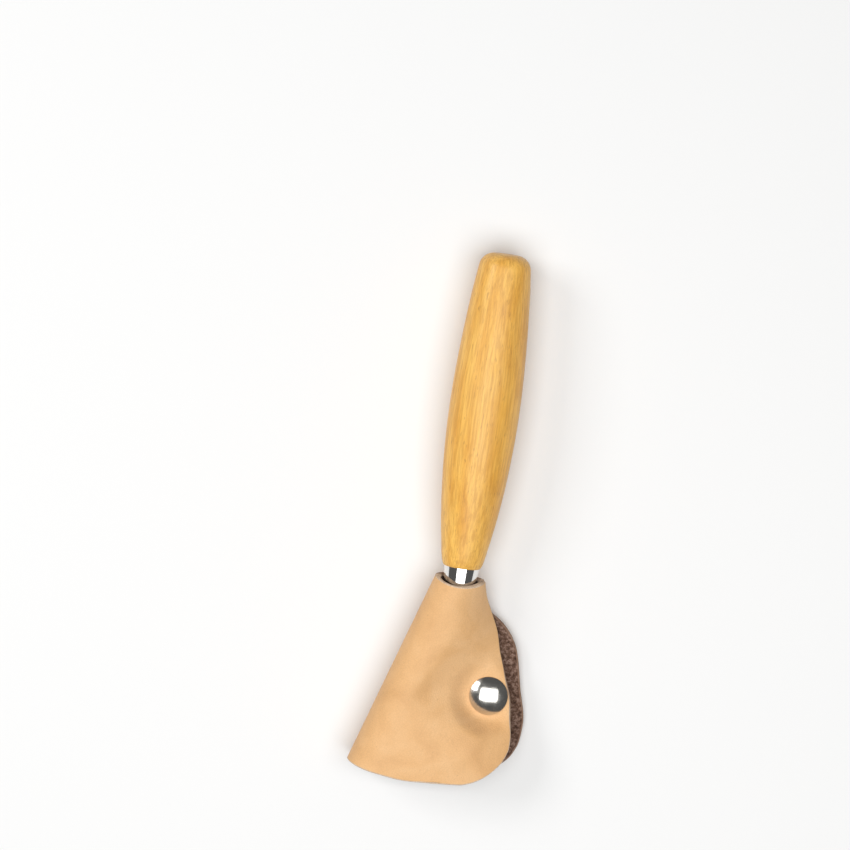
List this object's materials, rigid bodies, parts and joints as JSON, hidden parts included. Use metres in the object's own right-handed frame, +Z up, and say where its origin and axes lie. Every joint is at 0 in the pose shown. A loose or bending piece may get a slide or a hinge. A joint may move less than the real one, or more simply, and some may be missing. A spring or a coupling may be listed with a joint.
{
  "type": "hook knife",
  "caption": "Woodcarving hook knife with a barrel wooden handle and steel ferrule, buttoned into a folded leather sheath with a snap.",
  "frame": {"origin": "bottom centre of the whole object as it lies on a table", "axes": "+Y along the handle towards the butt, +Z up from the table, square to the hook's plane, and +X to the side that the hook curls to"},
  "size_m": [0.0552, 0.1706, 0.0224],
  "materials": {
    "birch": "linseed-oiled birch, satin",
    "ferrule_steel": "mirror-polished steel",
    "blade_steel": "ground and polished steel",
    "epoxy": "cured glue",
    "leather": "smooth tan grain side, rough brown flesh side",
    "snap_nickel": "nickel-plated brass",
    "spring_brass": "bright spring wire"
  },
  "bodies": {
    "sheath": {"sheath_back": "leather", "snap_stud": "snap_nickel", "snap_post": "snap_nickel"},
    "flap": {"sheath_flap": "leather", "snap_cap": "snap_nickel", "snap_socket": "snap_nickel", "snap_spring": "spring_brass"},
    "knife": {"handle": "birch", "ferrule": "ferrule_steel", "blade": "blade_steel", "tang_bedding": "epoxy"}
  },
  "joints": [
    {"name": "flap_fold", "type": "hinge", "parent": "sheath", "child": "flap", "pos_m": [-0.00766, -0.01868, 0.0112], "axis": [-0.298, -0.9543, -0.0244], "range_deg": [0, 130]},
    {"name": "knife_lift", "type": "slide", "parent": "sheath", "child": "knife", "axis": [0, 0, 1], "range_m": [0, 0.0128]}
  ],
  "couplings": [
    {"joint": "knife_lift", "follows": "flap_fold", "m_per_rad": 0.0056}
  ]
}
